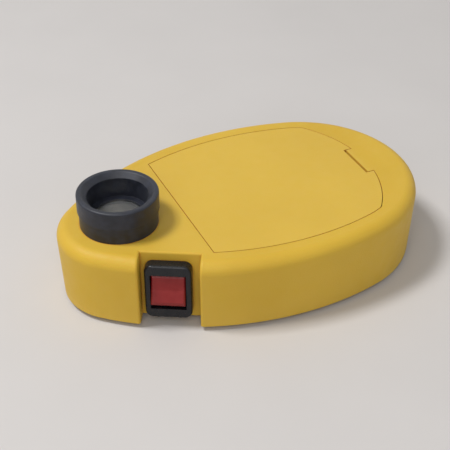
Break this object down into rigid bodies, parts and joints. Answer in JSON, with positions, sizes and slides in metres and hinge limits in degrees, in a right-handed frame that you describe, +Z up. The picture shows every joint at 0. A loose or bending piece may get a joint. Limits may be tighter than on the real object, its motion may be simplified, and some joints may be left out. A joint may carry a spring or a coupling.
{
  "type": "egg candling lamp",
  "caption": "Egg-shaped battery lamp that lies flat, with a rubber cup over its light for holding an egg, a rocker switch in a side notch and a lift-off cell cover.",
  "frame": {"origin": "middle of the body's outline, on the table under it", "axes": "+X runs from the small end with the egg cup to the big end, -Y is the side with the rocker switch, +Z is up"},
  "size_m": [0.1346, 0.0862, 0.041],
  "materials": {
    "housing_plastic": "fine satin",
    "black_rubber": "matt",
    "screw_steel": "zinc plated",
    "spring_steel": "nickel plated",
    "contact_metal": "nickel plated",
    "cell_case": "printed sleeve, plain",
    "black_plastic": "satin",
    "switch_black": "gloss",
    "switch_red": "satin gloss",
    "brass": "plain",
    "clear_plastic": "clear, polished",
    "bright_metal": "polished",
    "board_metal": "white solder mask",
    "emitter_plastic": "phosphor under a clear dome",
    "board_green": "solder mask",
    "resistor_body": "lacquer",
    "wire_red": "soft plastic sleeve",
    "wire_black": "soft plastic sleeve"
  },
  "bodies": {
    "housing": {"top_shell": "housing_plastic", "base_plate": "housing_plastic", "rubber_feet": "black_rubber", "egg_cup": "black_rubber", "base_screws": "screw_steel", "tray_screws": "screw_steel", "board_screws": "screw_steel", "holder_screws": "screw_steel", "battery_tray": "black_plastic", "lamp_holder": "black_plastic", "cell_1": "cell_case", "cell_2": "cell_case", "cell_3": "cell_case", "cell_4": "cell_case", "spring_1": "spring_steel", "spring_2": "spring_steel", "spring_3": "spring_steel", "spring_4": "spring_steel", "contact_positive": "contact_metal", "contact_negative": "contact_metal", "contact_bridge_near": "contact_metal", "contact_bridge_far_left": "contact_metal", "contact_bridge_far_right": "contact_metal", "lens_window": "clear_plastic", "reflector": "bright_metal", "led_emitter": "emitter_plastic", "led_board": "board_metal", "driver_board": "board_green", "dropper_resistor": "resistor_body", "switch_body": "switch_black", "switch_terminals": "brass", "wire_battery_switch": "wire_red", "wire_switch_board": "wire_red", "wire_battery_board": "wire_black", "wire_led_positive": "wire_red", "wire_led_negative": "wire_black"},
    "rocker": {"switch_rocker": "switch_red", "switch_plunger": "brass"},
    "lever": {"switch_lever": "brass"},
    "cover": {"battery_cover": "housing_plastic"}
  },
  "joints": [
    {"name": "rocker_tilt", "type": "hinge", "parent": "housing", "child": "rocker", "pos_m": [-0.03679, -0.02333, 0.0142], "axis": [0.8788, -0.4772, 0], "range_deg": [0, 34]},
    {"name": "lever_tilt", "type": "hinge", "parent": "housing", "child": "lever", "pos_m": [-0.03302, -0.01639, 0.0142], "axis": [0.8788, -0.4772, 0], "range_deg": [-13.6, 0]},
    {"name": "cover_swing", "type": "hinge", "parent": "housing", "child": "cover", "pos_m": [-0.023, 0, 0.0285], "axis": [0, -1, 0], "range_deg": [0, 65]}
  ],
  "couplings": [
    {"joint": "lever_tilt", "follows": "rocker_tilt", "ratio": -0.4}
  ]
}
